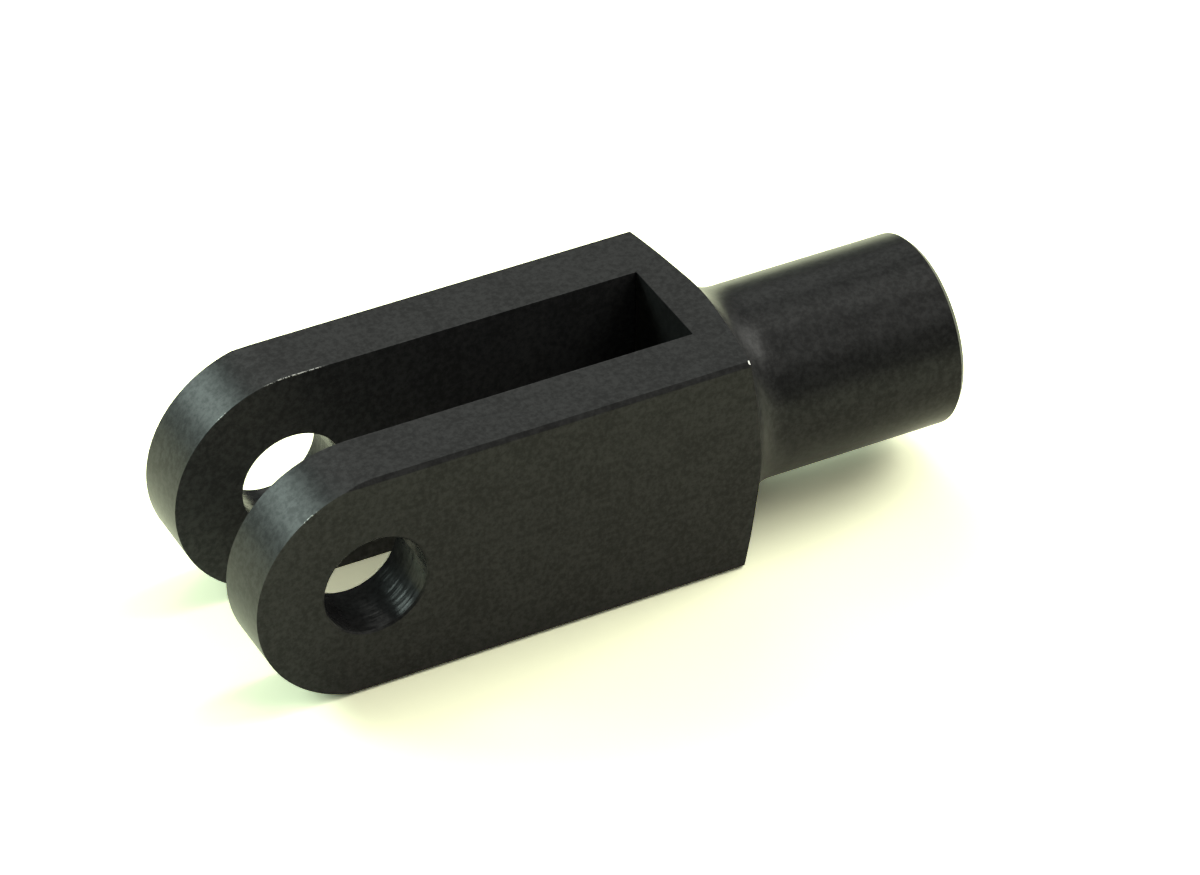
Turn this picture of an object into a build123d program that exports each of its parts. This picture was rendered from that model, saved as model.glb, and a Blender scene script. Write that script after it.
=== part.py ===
from build123d import *

import os
from math import hypot, radians, tan

# Clevis rod end: a fork for a cross pin on one end and a tapped round shank for a rod on
# the other, milled and turned from one piece of square steel bar.
#
# Frame, in millimetres: the origin is the centre of the cross pin's bore, +X runs along the
# rod's thread towards the rod, +Y along the pin, and +Z out of the upper side of the slot.

# Square bar with its four long edges broken. The ears' round noses are full radii struck
# from the pin's centre. They are milled later, and their edges are left sharp.
bar_width = 19.05
bar_edge_break = 0.3

# Fork
pin_bore_diameter = 8.2
slot_width = 8.8
pin_to_slot_floor = 28.5

# Turned back end. The shoulder's corners are where the lathe first meets the square bar.
slot_floor_to_shoulder = 2.0
shoulder_to_rod_face = 20.0
shank_diameter = 15.1
shoulder_angle = 15.0
cove_radius = 3.9

# Rod thread, 5/16-24 UNF. The bore is cut to the thread's major diameter.
thread_diameter = 7.94

# Broken rims
pin_bore_break = 0.15
rod_face_break = 0.4
thread_mouth_break = 0.7

# Cutting tools run this far past the metal that they cut
overrun = 5.0

# Sizes that follow from those above
nose_radius = bar_width / 2
corner_radius = hypot(bar_width, bar_width) / 2
shank_radius = shank_diameter / 2
shoulder_x = pin_to_slot_floor + slot_floor_to_shoulder
rod_face_x = shoulder_x + shoulder_to_rod_face
cone_slope = tan(radians(shoulder_angle))
past_the_nose = -nose_radius - overrun


def square_bar():
    """The bar along X, its long edges broken, from the nose's tip to the rod face."""
    section = Rectangle(bar_width, bar_width)
    section = chamfer(section.vertices(), bar_edge_break)
    return extrude(Plane.YZ.offset(-nose_radius) * section, nose_radius + rod_face_x)


def nose_envelope():
    """All that the milling of the noses leaves: full radii about the pin, and the bar behind."""
    bar_side = Rectangle(rod_face_x, bar_width, align=(Align.MIN, Align.CENTER))
    side_view = bar_side + Circle(nose_radius)
    return extrude(Plane.XZ * side_view, nose_radius + overrun, both=True)


def lathe_envelope():
    """All that the lathe leaves: the bar's corners, a shallow cone, a cove and the shank.

    The cone is wider than the bar, so it scallops the back edges of the bar's four flats.
    """
    outside = corner_radius + overrun
    cone_start_x = shoulder_x - overrun * cone_slope
    cone_end_x = shoulder_x + (corner_radius - shank_radius) * cone_slope
    cone_foot = (cone_end_x, shank_radius)
    rod_face_rim = (rod_face_x, shank_radius)
    half_section = make_face(
        Polyline(
            (past_the_nose, 0),
            (past_the_nose, outside),
            (cone_start_x, outside),
            cone_foot,
            rod_face_rim,
            (rod_face_x, 0),
            close=True,
        )
    )
    half_section = fillet(corner_at(half_section, cone_foot), cove_radius)
    half_section = chamfer(corner_at(half_section, rod_face_rim), rod_face_break)
    return revolve(half_section, Axis.X)


def corner_at(sketch, point):
    """The vertex of a flat sketch that lies at the given point."""
    return sketch.vertices().sort_by_distance(Vector(*point))[0]


def slot():
    """The fork's slot, open at the nose and through both the upper and the lower side."""
    slot_length = pin_to_slot_floor - past_the_nose
    cutter_height = bar_width + 2 * overrun
    at_floor = (Align.MAX, Align.CENTER, Align.CENTER)
    return Pos(X=pin_to_slot_floor) * Box(slot_length, slot_width, cutter_height, align=at_floor)


def pin_bore():
    """One bore through both ears, along Y."""
    drill_length = bar_width + 2 * overrun
    return Rot(X=90) * Cylinder(pin_bore_diameter / 2, drill_length)


def rod_bore():
    """The thread's bore, along X from the rod face through to the slot's floor."""
    drill_length = rod_face_x + overrun - pin_to_slot_floor
    from_base = (Align.CENTER, Align.CENTER, Align.MIN)
    bore = Cylinder(thread_diameter / 2, drill_length, align=from_base)
    return Pos(X=pin_to_slot_floor) * Rot(Y=90) * bore


def break_rims(clevis):
    """Breaks the pin bore's rims on the two ears' outer flats, and the thread's mouth."""
    across_pin = clevis.faces().filter_by(Axis.Y).sort_by(Axis.Y)
    rims = across_pin[0].inner_wires()[0].edges() + across_pin[-1].inner_wires()[0].edges()
    clevis = chamfer(rims, pin_bore_break)
    rod_face = clevis.faces().sort_by(Axis.X)[-1]
    return chamfer(rod_face.inner_wires()[0].edges(), thread_mouth_break)


def clevis_body():
    blank = square_bar() & nose_envelope() & lathe_envelope()
    return break_rims(blank - slot() - pin_bore() - rod_bore())


os.makedirs("parts", exist_ok=True)
export_step(clevis_body(), "parts/clevis_body.step")
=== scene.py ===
# A clevis rod end in black-oxide steel: its rod thread, its finish, the floor, the light and the camera.

from math import cos, pi, radians, sin, tan

import bpy
from mathutils import Matrix, Vector


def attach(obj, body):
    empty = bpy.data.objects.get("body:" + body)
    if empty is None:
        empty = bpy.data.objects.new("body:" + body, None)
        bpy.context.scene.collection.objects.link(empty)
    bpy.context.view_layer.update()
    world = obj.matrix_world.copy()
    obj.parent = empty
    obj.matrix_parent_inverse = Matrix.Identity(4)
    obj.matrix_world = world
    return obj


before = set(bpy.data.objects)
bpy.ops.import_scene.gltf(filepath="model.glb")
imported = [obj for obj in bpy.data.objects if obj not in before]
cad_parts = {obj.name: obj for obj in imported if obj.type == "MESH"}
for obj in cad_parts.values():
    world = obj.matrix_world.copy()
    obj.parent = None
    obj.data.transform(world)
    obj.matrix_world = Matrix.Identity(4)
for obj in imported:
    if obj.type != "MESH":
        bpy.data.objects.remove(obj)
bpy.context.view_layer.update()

MM = 0.001

# The steel, in millimetres, as it was turned and milled. The pin bore's centre is the origin, the pin lies
# along Y and the rod along X.
BAR_HALF = 9.525
SLOT_HALF = 4.4
SLOT_FLOOR = 28.5
SHOULDER = 30.5
ROD_FACE = 50.5
PIN_BORE_RADIUS = 4.1
EDGE_BREAK = 0.3

# The rod thread, 5/16-24. Its ridge is rooted a little way into the bore's wall, and starts this many pitches
# before the slot's floor, where it is cut off.
THREAD_PITCH = 25.4 / 24
THREAD_MAJOR_RADIUS = 3.97
THREAD_FLANK = radians(30)
THREAD_DEPTH = 5 / 8 * THREAD_PITCH * cos(THREAD_FLANK)
THREAD_CREST = THREAD_PITCH / 4
THREAD_ROOTING = 0.04
THREAD_LEAD_IN = 1.1
THREAD_STEPS = 64
SMOOTHING_ANGLE = radians(25)
COUNTERSINK_DEPTH = 0.7
COUNTERSINK_REACH = 2.0
MERGE_DISTANCE = 0.0001


# ---------------------------------------------------------------- modelling

def deselect_all():
    """Leaves nothing selected, so that an operator acts on the new piece alone."""
    bpy.ops.object.select_all(action="DESELECT")


def select_only(piece):
    """Selects the piece alone and makes it the active one."""
    deselect_all()
    piece.select_set(True)
    bpy.context.view_layer.objects.active = piece


def take_new(name):
    """Names the primitive that was just added and returns it."""
    piece = bpy.context.object
    piece.name = name
    piece.data.name = name
    return piece


def set_place(piece):
    """Puts the piece's place, turn and scale into its mesh, so that its object sits at the origin."""
    select_only(piece)
    bpy.ops.object.transform_apply(location=True, rotation=True, scale=True)


def apply_modifier(piece, kind, **settings):
    """Adds a modifier, sets it up and applies it."""
    select_only(piece)
    modifier = piece.modifiers.new(kind.title(), kind)
    for name, value in settings.items():
        setattr(modifier, name, value)
    bpy.ops.object.modifier_apply(modifier=modifier.name)


def open_mesh(piece, action):
    """Opens the piece's mesh in edit mode and selects or deselects all of its vertices."""
    select_only(piece)
    bpy.ops.object.mode_set(mode="EDIT")
    bpy.ops.mesh.select_mode(type="VERT")
    bpy.ops.mesh.select_all(action=action)


def thread_profile():
    """The thread's cross-section: a flat-topped wedge on the bore's wall that points at its axis."""
    root = THREAD_MAJOR_RADIUS + THREAD_ROOTING
    crest = THREAD_MAJOR_RADIUS - THREAD_DEPTH
    middle = (root + crest) / 2 * MM
    root_width = THREAD_CREST + 2 * (root - crest) * tan(THREAD_FLANK)
    start = SLOT_FLOOR - THREAD_LEAD_IN * THREAD_PITCH
    deselect_all()
    bpy.ops.mesh.primitive_plane_add(size=MM, rotation=(radians(90), 0, 0))
    wedge = take_new("rod_thread")
    wedge.scale = (root_width, root - crest, 1)
    wedge.location = (start * MM, 0, middle)
    set_place(wedge)
    open_mesh(wedge, "DESELECT")
    bpy.ops.object.mode_set(mode="OBJECT")
    for vertex in wedge.data.vertices:
        vertex.select = vertex.co.z < middle
    bpy.ops.object.mode_set(mode="EDIT")
    bpy.ops.transform.resize(value=(THREAD_CREST / root_width, 1, 1))
    bpy.ops.object.mode_set(mode="OBJECT")
    return wedge


def close_ends():
    """Closes the open ends of the mesh in edit mode, and turns its faces outwards."""
    bpy.ops.mesh.remove_doubles(threshold=MERGE_DISTANCE * MM)
    bpy.ops.mesh.fill_holes(sides=0)
    bpy.ops.mesh.select_all(action="SELECT")
    bpy.ops.mesh.normals_make_consistent(inside=False)


def cut_flush(x):
    """Cuts the mesh in edit mode off at x and closes the cut; what lies nearer to the pin goes."""
    bpy.ops.mesh.select_all(action="SELECT")
    bpy.ops.mesh.bisect(
        plane_co=(x * MM, 0, 0),
        plane_no=(1, 0, 0),
        use_fill=True,
        clear_inner=True,
        threshold=MERGE_DISTANCE * MM,
    )


def countersink_cutter():
    """The cone of the tool that opens the thread's mouth, from its tip to a little beyond the rod face."""
    tip = ROD_FACE - COUNTERSINK_DEPTH - THREAD_MAJOR_RADIUS
    length = ROD_FACE + COUNTERSINK_REACH - tip
    deselect_all()
    bpy.ops.mesh.primitive_cone_add(
        vertices=THREAD_STEPS,
        radius1=length * MM,
        radius2=0,
        depth=length * MM,
        location=((tip + length / 2) * MM, 0, 0),
        rotation=(0, radians(-90), 0),
    )
    cutter = take_new("countersink")
    set_place(cutter)
    return cutter


def rod_thread():
    """The thread in the shank: a ridge wound right-handed down the bore, flush with the slot's floor."""
    thread = thread_profile()
    apply_modifier(
        thread,
        "SCREW",
        axis="X",
        angle=2 * pi,
        screw_offset=THREAD_PITCH * MM,
        iterations=round((ROD_FACE - SLOT_FLOOR) / THREAD_PITCH) + 1,
        steps=THREAD_STEPS,
        render_steps=THREAD_STEPS,
        use_normal_calculate=True,
    )
    open_mesh(thread, "SELECT")
    close_ends()
    cut_flush(SLOT_FLOOR)
    bpy.ops.object.mode_set(mode="OBJECT")
    cutter = countersink_cutter()
    apply_modifier(thread, "BOOLEAN", object=cutter, operation="DIFFERENCE", solver="EXACT")
    bpy.data.objects.remove(cutter)
    bpy.ops.object.shade_smooth_by_angle(angle=SMOOTHING_ANGLE)
    return thread


# ---------------------------------------------------------------- shaders

class Term:
    """An output of a shader node. An expression on terms adds the Math nodes that it needs."""

    def __init__(self, shader, socket):
        self.shader = shader
        self.socket = socket

    def maths(self, operation, first, second=0.0):
        return self.shader.add("Math", "Value", {"operation": operation}, {0: first, 1: second})

    def __add__(self, other):
        return self.maths("ADD", self, other)

    __radd__ = __add__

    def __sub__(self, other):
        return self.maths("SUBTRACT", self, other)

    def __rsub__(self, other):
        return self.maths("SUBTRACT", other, self)

    def __mul__(self, other):
        return self.maths("MULTIPLY", self, other)

    __rmul__ = __mul__

    def __pow__(self, other):
        return self.maths("POWER", self, other)

    def __abs__(self):
        return self.maths("ABSOLUTE", self)

    def __gt__(self, other):
        return self.maths("GREATER_THAN", self, other)

    def __lt__(self, other):
        return self.maths("LESS_THAN", self, other)

    def at_least(self, other):
        return self.maths("MAXIMUM", self, other)

    def at_most(self, other):
        return self.maths("MINIMUM", self, other)

    def angle_from(self, other):
        return self.maths("ARCTAN2", self, other)


class Shader:
    """The nodes of one material, or of the world."""

    def __init__(self, owner):
        owner.use_nodes = True
        self.tree = owner.node_tree
        self.tree.nodes.clear()

    def add(self, kind, output=0, settings=None, inputs=None):
        """Adds a node of this kind, sets it up, fills or links its sockets and returns one of its outputs."""
        node = self.tree.nodes.new("ShaderNode" + kind)
        for name, value in (settings or {}).items():
            setattr(node, name, value)
        for name, value in (inputs or {}).items():
            if isinstance(value, Term):
                self.tree.links.new(value.socket, node.inputs[name])
            else:
                node.inputs[name].default_value = value
        return Term(self, node.outputs[output]) if node.outputs else None

    def part(self, vector, axis):
        """One of the three parts of a vector."""
        return self.add("SeparateXYZ", axis, {}, {"Vector": vector})

    def join(self, x, y, z):
        """A vector of three terms or numbers."""
        return self.add("CombineXYZ", "Vector", {}, {"X": x, "Y": y, "Z": z})

    def noise(self, place, scale, detail, roughness):
        """Smooth noise from 0 to 1 whose largest features are about 1 / scale across."""
        inputs = {"Vector": place, "Scale": scale, "Detail": detail, "Roughness": roughness}
        return self.add("TexNoise", 0, {"noise_dimensions": "3D"}, inputs)

    def step(self, value, low, high):
        """Rises smoothly from 0 where value is low to 1 where it is high."""
        inputs = {"Value": value, "From Min": low, "From Max": high}
        return self.add("MapRange", 0, {"interpolation_type": "SMOOTHSTEP"}, inputs)

    def mix(self, factor, first, second):
        """One colour turning into another as factor goes from 0 to 1."""
        # On the node, 6 and 7 are the two colours that go in and 2 is the colour that comes out.
        return self.add("Mix", 2, {"data_type": "RGBA"}, {0: factor, 6: first, 7: second})

    def scale(self, vector, factor):
        """A vector or colour, made larger or brighter by a factor."""
        return self.add("VectorMath", "Vector", {"operation": "SCALE"}, {"Vector": vector, "Scale": factor})

    def distance(self, first, second):
        """The distance between two points."""
        return self.add("VectorMath", "Value", {"operation": "DISTANCE"}, {0: first, 1: second})

    def length(self, first, second):
        """The length of a line whose two parts are these."""
        return (first * first + second * second) ** 0.5


# ---------------------------------------------------------------- the black finish

BLACK_LEAN = (0.0205, 0.0200, 0.0208, 1)
BLACK_RICH = (0.0362, 0.0354, 0.0366, 1)
BARE_STEEL = (0.80, 0.79, 0.76, 1)
BLACK_METAL = 0.35
BARE_METAL = 0.75
BLACK_REFLECTION = 0.04

# How matt the black is on each kind of surface.
ROUGHNESS = {
    "drawn": 0.38,
    "broken": 0.38,
    "nosed": 0.31,
    "slotted": 0.38,
    "slot_floor": 0.45,
    "shoulder": 0.33,
    "shank": 0.33,
    "drilled": 0.22,
}

# How much lighter or darker the black is painted on each kind of surface, where 1 is the black as written
# above. This is painted light and shade for how the light falls there: the slot's walls and the noses are
# painted lighter, and the slot's floor and the broken edges darker.
PAINTED_LIGHT_AND_SHADE = {
    "drawn": 0.96,
    "broken": 0.75,
    "nosed": 1.22,
    "slotted": 1.60,
    "slot_floor": 0.55,
    "shoulder": 1.02,
    "shank": 0.86,
    "drilled": 1.04,
}

# A surface is known by its place, to within this much. The noses turn into the flats over a length, and the
# shoulder into the shank between two places along the rod.
SKIN = 0.04
NOSE_BLEND = 3.5
SHANK_BLEND = (34.2, 35.7)

# Each noise as its scale, in features to a millimetre, its detail and its roughness.
GRAIN = (5.0, 4.0, 0.65)
MOTTLE = (2.0, 3.0, 0.7)
CLOUD = (0.35, 3.0, 0.55)
NOSE_MARKS = (5.0, 3.0, 0.6)
LATHE_MARKS = (6.0, 2.0, 0.6)
BAR_MARKS = (4.0, 3.0, 0.6)
DRILL_RINGS = (3.0, 1.0, 0.5)

# How fast each tool's marks change along its way, where 1 is as fast as across it.
NOSE_RUN = 0.06
LATHE_RUN = 0.4
LATHE_DEPTH_RUN = 0.5
BAR_RUN = 0.05
DRILL_RUN = 0.12

# The height that the bump takes as 1, in millimetres, and how high the grain and the marks stand.
MARK_HEIGHT = 0.002
GRAIN_HEIGHT = 1.2
NOSE_HEIGHT = 0.9
LATHE_HEIGHT = 0.9
BAR_HEIGHT = 0.6
DRILL_HEIGHT = 11.0

# How the mottle and the cloud share in the black's thickness, and the part of their range that it takes.
MOTTLE_SHARE = 0.75
CLOUD_SHARE = 0.25
THICKNESS_RANGE = (0.36, 0.64)

# How much the grain and the cloud change how matt it is.
GRAIN_MATTING = 0.12
CLOUD_MATTING = 0.06

# Where the black has rubbed off the ears' edges: a place on an edge, how far along it this reaches, and how
# bare it is. Two of them are on the noses, at these angles from the top.
NEAR_RUB = radians(33)
FAR_RUB = radians(36)
RUBS = (
    ((0.3, SLOT_HALF, BAR_HALF), 2.6, 0.80),
    ((-BAR_HALF * sin(NEAR_RUB), -BAR_HALF, BAR_HALF * cos(NEAR_RUB)), 0.8, 0.25),
    ((-BAR_HALF * sin(FAR_RUB), SLOT_HALF, BAR_HALF * cos(FAR_RUB)), 0.6, 0.25),
)
RUB_WIDTH = 0.09
RUB_GRAIN = (0.46, 0.56)

# The share of a rub's width and of its reach, and of the dent, that has no soft edge.
RUB_CORE_ACROSS = 0.4
RUB_CORE_ALONG = 0.6
DENT_CORE = 0.85

# The dent in the near shoulder's corner: an oval round these two points, and its length.
DENT = (
    (SHOULDER + 0.05, -BAR_HALF + 0.37, BAR_HALF),
    (SHOULDER + 0.05, -BAR_HALF + 0.15, BAR_HALF - 0.15),
)
DENT_LENGTH = 0.40


class Place:
    """Where a point of the steel lies, in millimetres, and which tool made the surface there."""

    def __init__(self, shader):
        self.shader = shader
        self.point = shader.scale(shader.add("TexCoord", "Object"), 1 / MM)
        self.x, self.y, self.z = (shader.part(self.point, axis) for axis in "XYZ")
        self.from_pin = shader.length(self.x, self.z)
        self.from_rod = shader.length(self.y, self.z)
        ahead = self.x < 0.0
        self.outline = ahead * self.from_pin + (1 - ahead) * abs(self.z)
        self.made = self.surfaces(ahead * (self.outline > BAR_HALF - SKIN))

    def surfaces(self, nosed):
        """The share of each kind of surface at a point: 1 or 0, or between the two where kinds blend."""
        across = abs(self.y).at_least(abs(self.z))
        drilled = self.from_pin < PIN_BORE_RADIUS + SKIN
        turned = (self.x > SHOULDER) * (across < BAR_HALF - SKIN)
        on_corner = abs(self.y) + abs(self.z) > 2 * BAR_HALF - EDGE_BREAK - SKIN
        broken = on_corner * (1 - nosed) * (1 - turned)
        between_ears = (abs(self.y) < SLOT_HALF + SKIN) * (self.x < SLOT_FLOOR + SKIN)
        in_slot = between_ears * (1 - drilled) * (1 - nosed)
        slot_floor = in_slot * (self.x > SLOT_FLOOR - SKIN)
        round_nose = nosed * (1 - self.shader.step(self.x, -NOSE_BLEND, 0.0))
        on_shank = self.shader.step(self.x, *SHANK_BLEND)
        return {
            "drawn": 1 - broken - round_nose - in_slot - turned - drilled,
            "broken": broken,
            "nosed": round_nose,
            "slotted": in_slot - slot_floor,
            "slot_floor": slot_floor,
            "shoulder": turned * (1 - on_shank),
            "shank": turned * on_shank,
            "drilled": drilled,
        }

    def by_surface(self, numbers):
        """The number that belongs to the kind of surface on which a point lies."""
        return sum(self.made[kind] * number for kind, number in numbers.items())

    def from_ear_edge(self):
        """The distance from the nearest edge of an ear's outline."""
        side = abs(abs(self.y) - SLOT_HALF).at_most(BAR_HALF - abs(self.y))
        return self.shader.length(BAR_HALF - self.outline, side)

    def away_from(self, point):
        """The distance from a point."""
        return self.shader.distance(self.point, point)


def tool_marks(shader, at):
    """The height of the marks that the tools left under the black, each along the way its tool went."""
    round_nose = shader.join(at.x.angle_from(at.z) * BAR_HALF, at.y * NOSE_RUN, 0.0)
    round_shank = shader.join(at.x, at.y.angle_from(at.z) * LATHE_RUN, at.from_rod * LATHE_DEPTH_RUN)
    along_bar = shader.join(at.x * BAR_RUN, at.y, at.z)
    round_bore = shader.join(at.x * DRILL_RUN, at.y, at.z * DRILL_RUN)
    turned = at.made["shoulder"] + at.made["shank"]
    flat = at.made["drawn"] + at.made["slotted"]
    return (
        shader.noise(round_nose, *NOSE_MARKS) * at.made["nosed"] * NOSE_HEIGHT
        + shader.noise(round_shank, *LATHE_MARKS) * turned * LATHE_HEIGHT
        + shader.noise(along_bar, *BAR_MARKS) * flat * BAR_HEIGHT
        + shader.noise(round_bore, *DRILL_RINGS) * at.made["drilled"] * DRILL_HEIGHT
    )


def bare_steel(shader, at, grain):
    """1 where the steel shows through the black, on rubbed edges and in the dent, and 0 elsewhere."""
    round_dent = at.away_from(DENT[0]) + at.away_from(DENT[1])
    bare = 1 - shader.step(round_dent, DENT_LENGTH * DENT_CORE, DENT_LENGTH)
    on_edge = 1 - shader.step(at.from_ear_edge(), RUB_WIDTH * RUB_CORE_ACROSS, RUB_WIDTH)
    for place, reach, most in RUBS:
        near = 1 - shader.step(at.away_from(place), reach * RUB_CORE_ALONG, reach)
        bare = bare.at_least(on_edge * near * most * shader.step(grain, *RUB_GRAIN))
    return bare


def black_oxide():
    """Black oxide on machined steel: satin, slightly cloudy, with the tool marks showing through it."""
    material = bpy.data.materials.new("black_oxide")
    shader = Shader(material)
    at = Place(shader)
    grain = shader.noise(at.point, *GRAIN)
    mottle = shader.noise(at.point, *MOTTLE)
    cloud = shader.noise(at.point, *CLOUD)
    bare = bare_steel(shader, at, grain)
    thickness = shader.step(mottle * MOTTLE_SHARE + cloud * CLOUD_SHARE, *THICKNESS_RANGE)
    # The black is painted lighter or darker on each kind of surface: painted light and shade.
    black = shader.scale(shader.mix(thickness, BLACK_LEAN, BLACK_RICH), at.by_surface(PAINTED_LIGHT_AND_SHADE))
    matting = (grain - 0.5) * GRAIN_MATTING + (cloud - 0.5) * CLOUD_MATTING
    height = grain * GRAIN_HEIGHT + tool_marks(shader, at)
    normal = shader.add("Bump", 0, {}, {"Strength": 1.0, "Distance": MARK_HEIGHT * MM, "Height": height})
    surface = shader.add("BsdfPrincipled", 0, {}, {
        "Base Color": shader.mix(bare, black, BARE_STEEL),
        "Metallic": bare * (BARE_METAL - BLACK_METAL) + BLACK_METAL,
        "Roughness": at.by_surface(ROUGHNESS) + matting,
        "Specular IOR Level": BLACK_REFLECTION,
        "Normal": normal,
    })
    shader.add("OutputMaterial", 0, {}, {"Surface": surface})
    return material


# ---------------------------------------------------------------- floor, light and camera

# The floor's size in metres, the colour that it lights the steel with, and the colour that it is seen in.
FLOOR_SIZE = 6.0
FLOOR_COLOUR = (0.90, 0.92, 0.80, 1)
FLOOR_SHOWN = (1.82, 1.80, 1.34, 1)

# The room's own light: its level all round, and how much it rises towards where the rod points.
ROOM_LEVEL = 0.10
ROOM_RISE = 0.12
ROOM_COLOUR = (1, 1, 0.97, 1)

# The lamps' distance from the steel, in metres, and their tints.
LAMP_DISTANCE = 0.9
DAYLIGHT = (0.80, 1.0, 0.90)
WHITE = (0.98, 1.0, 0.91)


def floor_finish():
    """White sheet, shown brighter than it lights the steel, to the camera and in reflections alike."""
    material = bpy.data.materials.new("white_sheet")
    shader = Shader(material)
    seen = shader.add("LightPath", "Is Camera Ray")
    mirrored = shader.add("LightPath", "Is Glossy Ray")
    through = shader.add("LightPath", "Is Transmission Ray")
    shown = seen.at_least(mirrored).at_least(through)
    colour = shader.mix(shown, FLOOR_COLOUR, FLOOR_SHOWN)
    surface = shader.add("BsdfDiffuse", 0, {}, {"Color": colour})
    shader.add("OutputMaterial", 0, {}, {"Surface": surface})
    return material


def lay_floor():
    """The plain floor that the bar lies on."""
    deselect_all()
    bpy.ops.mesh.primitive_plane_add(size=FLOOR_SIZE, location=(0, 0, -BAR_HALF * MM))
    floor = take_new("floor")
    set_place(floor)
    floor.data.materials.append(floor_finish())


def light_room():
    """The room's own light: dim, and a little brighter on the rod's side."""
    world = bpy.data.worlds.new("room")
    bpy.context.scene.world = world
    shader = Shader(world)
    rodward = shader.part(shader.add("TexCoord", "Generated"), "X")
    level = ROOM_LEVEL + ROOM_RISE * rodward.at_least(0.0)
    background = shader.add("Background", 0, {}, {"Color": ROOM_COLOUR, "Strength": level})
    shader.add("OutputWorld", 0, {}, {"Surface": background})


def hang_softbox(name, direction, size, brightness, tint):
    """A soft lamp that faces the steel from an azimuth and elevation, as bright as its face is to look at."""
    azimuth, elevation = (radians(angle) for angle in direction)
    toward = Vector((cos(elevation) * cos(azimuth), cos(elevation) * sin(azimuth), sin(elevation)))
    width, height = size
    lamp = bpy.data.lights.new(name, "AREA")
    lamp.shape = "RECTANGLE"
    lamp.size = width
    lamp.size_y = height
    lamp.energy = brightness * pi * width * height
    lamp.color = tint
    holder = bpy.data.objects.new(name, lamp)
    bpy.context.scene.collection.objects.link(holder)
    holder.location = toward * LAMP_DISTANCE
    holder.rotation_euler = (-toward).to_track_quat("-Z", "Y").to_euler()
    holder.visible_camera = False


def hang_softboxes():
    """A window ahead of the noses, a second one beyond the shank, and dimmer panels all round."""
    hang_softbox("window", direction=(126, 29.5), size=(0.60, 0.34), brightness=12.2, tint=DAYLIGHT)
    hang_softbox("sill", direction=(128, 8), size=(0.60, 0.20), brightness=1.8, tint=DAYLIGHT)
    hang_softbox("far_window", direction=(-3, 37), size=(0.50, 0.44), brightness=6.0, tint=WHITE)
    hang_softbox("ceiling_right", direction=(10, 64), size=(0.40, 0.40), brightness=2.8, tint=WHITE)
    hang_softbox("ceiling_front", direction=(-60, 66), size=(0.40, 0.40), brightness=0.8, tint=WHITE)
    hang_softbox("ceiling_back", direction=(75, 60), size=(0.35, 0.35), brightness=1.7, tint=WHITE)
    hang_softbox("front", direction=(-52, 44), size=(0.35, 0.30), brightness=2.4, tint=WHITE)
    hang_softbox("behind", direction=(74, 41), size=(0.60, 0.36), brightness=1.9, tint=WHITE)
    hang_softbox("side", direction=(14, 15), size=(0.35, 0.30), brightness=2.1, tint=WHITE)


# The camera's aim and distance are in millimetres, its directions in degrees and its clip in metres.
CAMERA_AIM = (22.52, -1.34, 0.0)
CAMERA_DISTANCE = 428.84
CAMERA_AZIMUTH = -28.424
CAMERA_ELEVATION = 37.259
CAMERA_ROLL = 0.752
CAMERA_CLIP = (0.01, 20)
LENS = 173.03
SENSOR = 36.0


def set_camera():
    """The camera: a long lens that looks down on the slot from the near ear's side."""
    lens = bpy.data.cameras.new("camera")
    lens.lens = LENS
    lens.sensor_width = SENSOR
    lens.clip_start, lens.clip_end = CAMERA_CLIP
    camera = bpy.data.objects.new("camera", lens)
    bpy.context.scene.collection.objects.link(camera)
    camera.matrix_world = (
        Matrix.Translation(Vector(CAMERA_AIM) * MM)
        @ Matrix.Rotation(radians(CAMERA_AZIMUTH), 4, "Z")
        @ Matrix.Rotation(radians(90 - CAMERA_ELEVATION), 4, "X")
        @ Matrix.Rotation(radians(CAMERA_ROLL), 4, "Z")
        @ Matrix.Translation((0, 0, CAMERA_DISTANCE * MM))
    )
    bpy.context.scene.camera = camera


# ---------------------------------------------------------------- the scene

finish = black_oxide()

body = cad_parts["clevis_body"]
body.material_slots[0].material = finish

thread = rod_thread()
thread.data.materials.append(finish)
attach(thread, "root")

lay_floor()
light_room()
hang_softboxes()
set_camera()
bpy.context.scene.view_settings.view_transform = "Standard"
